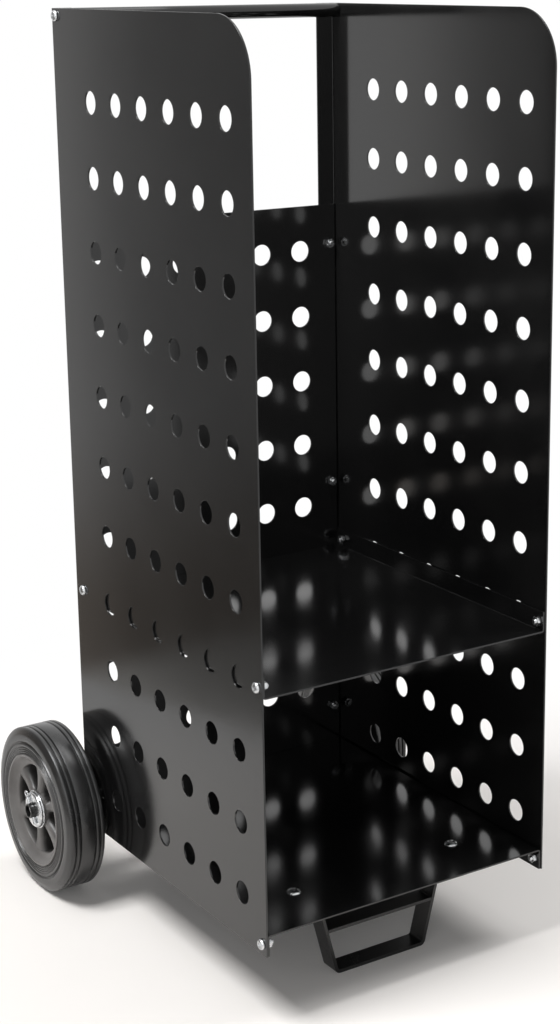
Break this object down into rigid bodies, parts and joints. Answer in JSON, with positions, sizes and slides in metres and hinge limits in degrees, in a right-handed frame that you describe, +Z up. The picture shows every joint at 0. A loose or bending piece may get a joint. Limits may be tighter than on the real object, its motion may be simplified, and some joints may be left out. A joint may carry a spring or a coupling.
{
  "type": "fireside log cart",
  "caption": "Tall two-shelf log cart of folded, perforated sheet with a top handle tube, a bent strap foot in front and two rubber-tyred wheels behind.",
  "frame": {"origin": "on the floor under the middle of the whole cart, wheels and axle included", "axes": "+X to the right seen from the open front, +Y to the back where the wheels are, +Z up"},
  "size_m": [0.4936, 0.543, 1.035],
  "materials": {
    "black_gloss_coat": "high-gloss black powder coat on 2 mm steel sheet and tube",
    "black_satin_coat": "satin black powder coat on steel strap, bracket and axle tube",
    "zinc_plate": "bright zinc-plated steel fasteners, washers and sleeves",
    "tyre_rubber": "charcoal solid rubber, slightly shiny, with round grooves",
    "grey_plastic": "moulded grey plastic, smooth and matt"
  },
  "bodies": {
    "cart_frame": {"axle_bracket_left": "black_satin_coat", "axle_bracket_right": "black_satin_coat", "axle_spacer_left": "zinc_plate", "axle_spacer_right": "zinc_plate", "axle_tube": "black_satin_coat", "back_panel": "black_gloss_coat", "back_panel_nut_left_middle": "zinc_plate", "back_panel_nut_left_upper": "zinc_plate", "back_panel_nut_right_middle": "zinc_plate", "back_panel_nut_right_upper": "zinc_plate", "back_panel_screw_left_middle": "zinc_plate", "back_panel_screw_left_upper": "zinc_plate", "back_panel_screw_right_middle": "zinc_plate", "back_panel_screw_right_upper": "zinc_plate", "bracket_nut_left_lower": "zinc_plate", "bracket_nut_left_upper": "zinc_plate", "bracket_nut_right_lower": "zinc_plate", "bracket_nut_right_upper": "zinc_plate", "bracket_screw_left_lower": "zinc_plate", "bracket_screw_left_upper": "zinc_plate", "bracket_screw_right_lower": "zinc_plate", "bracket_screw_right_upper": "zinc_plate", "foot_bolt_left": "zinc_plate", "foot_bolt_right": "zinc_plate", "foot_nut_left": "zinc_plate", "foot_nut_right": "zinc_plate", "foot_washer_left": "zinc_plate", "foot_washer_right": "zinc_plate", "front_foot": "black_satin_coat", "handle_screw_left": "zinc_plate", "handle_screw_right": "zinc_plate", "handle_tube": "black_gloss_coat", "left_side_panel": "black_gloss_coat", "lower_shelf": "black_gloss_coat", "lower_shelf_nut_left_front": "zinc_plate", "lower_shelf_nut_left_rear": "zinc_plate", "lower_shelf_nut_right_front": "zinc_plate", "lower_shelf_nut_right_rear": "zinc_plate", "lower_shelf_screw_left_front": "zinc_plate", "lower_shelf_screw_left_rear": "zinc_plate", "lower_shelf_screw_right_front": "zinc_plate", "lower_shelf_screw_right_rear": "zinc_plate", "right_side_panel": "black_gloss_coat", "split_pin_left": "zinc_plate", "split_pin_right": "zinc_plate", "upper_shelf": "black_gloss_coat", "upper_shelf_nut_left_front": "zinc_plate", "upper_shelf_nut_left_rear": "zinc_plate", "upper_shelf_nut_right_front": "zinc_plate", "upper_shelf_nut_right_rear": "zinc_plate", "upper_shelf_screw_left_front": "zinc_plate", "upper_shelf_screw_left_rear": "zinc_plate", "upper_shelf_screw_right_front": "zinc_plate", "upper_shelf_screw_right_rear": "zinc_plate", "wheel_washer_left": "zinc_plate", "wheel_washer_right": "zinc_plate"},
    "left_wheel": {"tyre_left": "tyre_rubber", "wheel_rim_left": "grey_plastic"},
    "right_wheel": {"tyre_right": "tyre_rubber", "wheel_rim_right": "grey_plastic"}
  },
  "joints": [
    {"name": "left_wheel_spin", "type": "hinge", "parent": "cart_frame", "child": "left_wheel", "pos_m": [-0.216, 0.1715, 0.1], "axis": [1, 0, 0], "continuous": true},
    {"name": "right_wheel_spin", "type": "hinge", "parent": "cart_frame", "child": "right_wheel", "pos_m": [0.216, 0.1715, 0.1], "axis": [1, 0, 0], "continuous": true}
  ]
}
